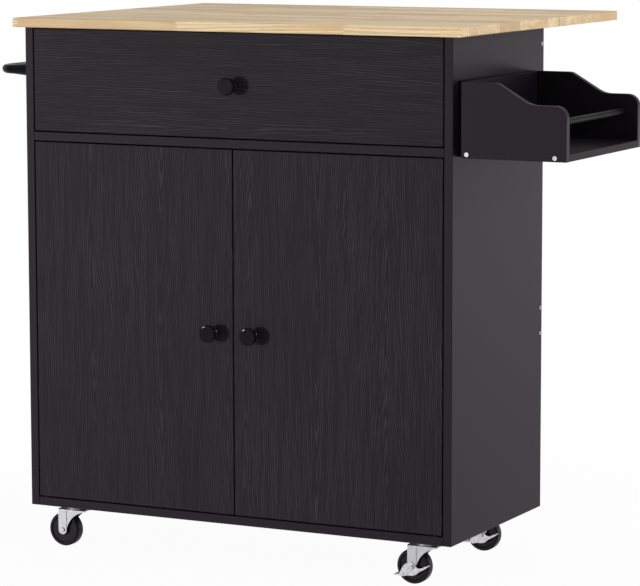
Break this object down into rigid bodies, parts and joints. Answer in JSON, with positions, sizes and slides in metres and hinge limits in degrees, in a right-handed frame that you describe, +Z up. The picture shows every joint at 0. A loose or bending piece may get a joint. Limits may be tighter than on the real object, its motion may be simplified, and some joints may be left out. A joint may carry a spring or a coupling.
{
  "type": "drop leaf kitchen island",
  "caption": "Kitchen island on casters: cabinet with a drawer and doors, wooden top with a folding rear leaf, side rack for spices and a towel bar.",
  "frame": {"origin": "middle of the bounding box's base at rest, on the floor", "axes": "+X to the right seen from the front, +Y from the front to the rear leaf, +Z up"},
  "size_m": [1.068, 0.691, 0.921],
  "materials": {
    "black_board": "satin, embossed grain",
    "rack_board": "satin",
    "rack_rod": "satin lacquer",
    "solid_wood": "oiled, glued staves",
    "hardboard": "matte",
    "bright_steel": "bright zinc",
    "zinc_steel": "satin zinc",
    "brake_steel": "stamped, bright",
    "slide_steel": "powder coat",
    "white_nylon": "matte",
    "dark_plastic": "matte",
    "gloss_paint": "gloss powder coat",
    "knob_gloss": "gloss",
    "wheel_black": "satin"
  },
  "bodies": {
    "cabinet": {"left_side_panel": "black_board", "right_side_panel": "black_board", "bottom_board": "black_board", "divider_rail": "black_board", "top_front_rail": "black_board", "rear_rails": "black_board", "back_panels": "hardboard", "shelf": "black_board", "shelf_pins": "bright_steel", "fixed_top": "solid_wood", "wood_screws": "bright_steel", "hinge_top_plates": "zinc_steel", "hinge_pins": "zinc_steel", "bracket_wall_arms": "zinc_steel", "slide_channels": "slide_steel", "towel_bar": "gloss_paint", "rack_back_board": "rack_board", "rack_front_panel": "rack_board", "rack_rear_panel": "rack_board", "rack_bottom_board": "rack_board", "rack_rod": "rack_rod", "door_pivot_pins": "dark_plastic", "door_catches": "dark_plastic", "caster_plates": "zinc_steel"},
    "leaf": {"drop_leaf": "solid_wood", "hinge_leaf_plates": "zinc_steel", "bracket_leaf_arms": "zinc_steel", "leaf_screws": "bright_steel"},
    "struts": {"bracket_struts": "zinc_steel"},
    "drawer": {"drawer_front": "black_board", "drawer_sides": "black_board", "drawer_back": "black_board", "drawer_bottom": "hardboard", "drawer_runners": "slide_steel", "drawer_knob": "knob_gloss", "drawer_knob_screw": "bright_steel"},
    "channel_rollers": {"channel_rollers": "white_nylon"},
    "runner_rollers": {"runner_rollers": "white_nylon"},
    "left_door": {"left_door": "black_board", "left_door_knob": "knob_gloss", "left_knob_screw": "bright_steel", "left_strike_plate": "bright_steel"},
    "right_door": {"right_door": "black_board", "right_door_knob": "knob_gloss", "right_knob_screw": "bright_steel", "right_strike_plate": "bright_steel"},
    "front_left_caster": {"front_left_fork": "zinc_steel", "front_left_axle": "zinc_steel"},
    "front_left_wheel": {"front_left_wheel": "wheel_black"},
    "front_right_caster": {"front_right_fork": "zinc_steel", "front_right_axle": "zinc_steel"},
    "front_right_wheel": {"front_right_wheel": "wheel_black"},
    "front_right_brake": {"front_right_brake": "brake_steel"},
    "rear_left_caster": {"rear_left_fork": "zinc_steel", "rear_left_axle": "zinc_steel"},
    "rear_left_wheel": {"rear_left_wheel": "wheel_black"},
    "rear_right_caster": {"rear_right_fork": "zinc_steel", "rear_right_axle": "zinc_steel"},
    "rear_right_wheel": {"rear_right_wheel": "wheel_black"},
    "rear_right_brake": {"rear_right_brake": "brake_steel"}
  },
  "joints": [
    {"name": "leaf_drop", "type": "hinge", "parent": "cabinet", "child": "leaf", "pos_m": [-0.062, 0.076, 0.9016], "axis": [-1, 0, 0], "range_deg": [0, 90]},
    {"name": "strut_fold", "type": "hinge", "parent": "cabinet", "child": "struts", "pos_m": [-0.062, 0.0718, 0.8416], "axis": [-1, 0, 0], "range_deg": [0, 114]},
    {"name": "drawer_slide", "type": "slide", "parent": "cabinet", "child": "drawer", "axis": [0, -1, 0], "range_m": [0, 0.26]},
    {"name": "channel_roller_spin", "type": "hinge", "parent": "cabinet", "child": "channel_rollers", "pos_m": [-0.062, -0.2925, 0.757], "axis": [1, 0, 0], "range_deg": [0, 1604]},
    {"name": "runner_roller_spin", "type": "hinge", "parent": "drawer", "child": "runner_rollers", "pos_m": [-0.062, -0.0025, 0.757], "axis": [1, 0, 0], "range_deg": [0, 1408]},
    {"name": "left_door_swing", "type": "hinge", "parent": "cabinet", "child": "left_door", "pos_m": [-0.433, -0.3145, 0.402], "axis": [0, 0, -1], "range_deg": [0, 110]},
    {"name": "right_door_swing", "type": "hinge", "parent": "cabinet", "child": "right_door", "pos_m": [0.309, -0.3145, 0.402], "axis": [0, 0, 1], "range_deg": [0, 110]},
    {"name": "front_left_swivel", "type": "hinge", "parent": "cabinet", "child": "front_left_caster", "pos_m": [-0.398, -0.2755, 0.07], "axis": [0, 0, 1], "continuous": true},
    {"name": "front_left_roll", "type": "hinge", "parent": "front_left_caster", "child": "front_left_wheel", "pos_m": [-0.4196, -0.2755, 0.0295], "axis": [0, 1, 0], "continuous": true},
    {"name": "front_right_swivel", "type": "hinge", "parent": "cabinet", "child": "front_right_caster", "pos_m": [0.274, -0.2755, 0.07], "axis": [0, 0, 1], "continuous": true},
    {"name": "front_right_roll", "type": "hinge", "parent": "front_right_caster", "child": "front_right_wheel", "pos_m": [0.2524, -0.2755, 0.0295], "axis": [0, 1, 0], "continuous": true},
    {"name": "front_right_brake_press", "type": "hinge", "parent": "front_right_caster", "child": "front_right_brake", "pos_m": [0.2524, -0.2755, 0.0295], "axis": [0, -1, 0], "range_deg": [0, 15]},
    {"name": "rear_left_swivel", "type": "hinge", "parent": "cabinet", "child": "rear_left_caster", "pos_m": [-0.398, 0.0085, 0.07], "axis": [0, 0, 1], "continuous": true},
    {"name": "rear_left_roll", "type": "hinge", "parent": "rear_left_caster", "child": "rear_left_wheel", "pos_m": [-0.4196, 0.0085, 0.0295], "axis": [0, 1, 0], "continuous": true},
    {"name": "rear_right_swivel", "type": "hinge", "parent": "cabinet", "child": "rear_right_caster", "pos_m": [0.274, 0.0085, 0.07], "axis": [0, 0, 1], "continuous": true},
    {"name": "rear_right_roll", "type": "hinge", "parent": "rear_right_caster", "child": "rear_right_wheel", "pos_m": [0.2524, 0.0085, 0.0295], "axis": [0, 1, 0], "continuous": true},
    {"name": "rear_right_brake_press", "type": "hinge", "parent": "rear_right_caster", "child": "rear_right_brake", "pos_m": [0.2524, 0.0085, 0.0295], "axis": [0, -1, 0], "range_deg": [0, 15]}
  ],
  "couplings": [
    {"joint": "strut_fold", "follows": "leaf_drop", "ratio": 1.261},
    {"joint": "channel_roller_spin", "follows": "drawer_slide", "rad_per_m": 107.53},
    {"joint": "runner_roller_spin", "follows": "drawer_slide", "rad_per_m": 94.34}
  ]
}
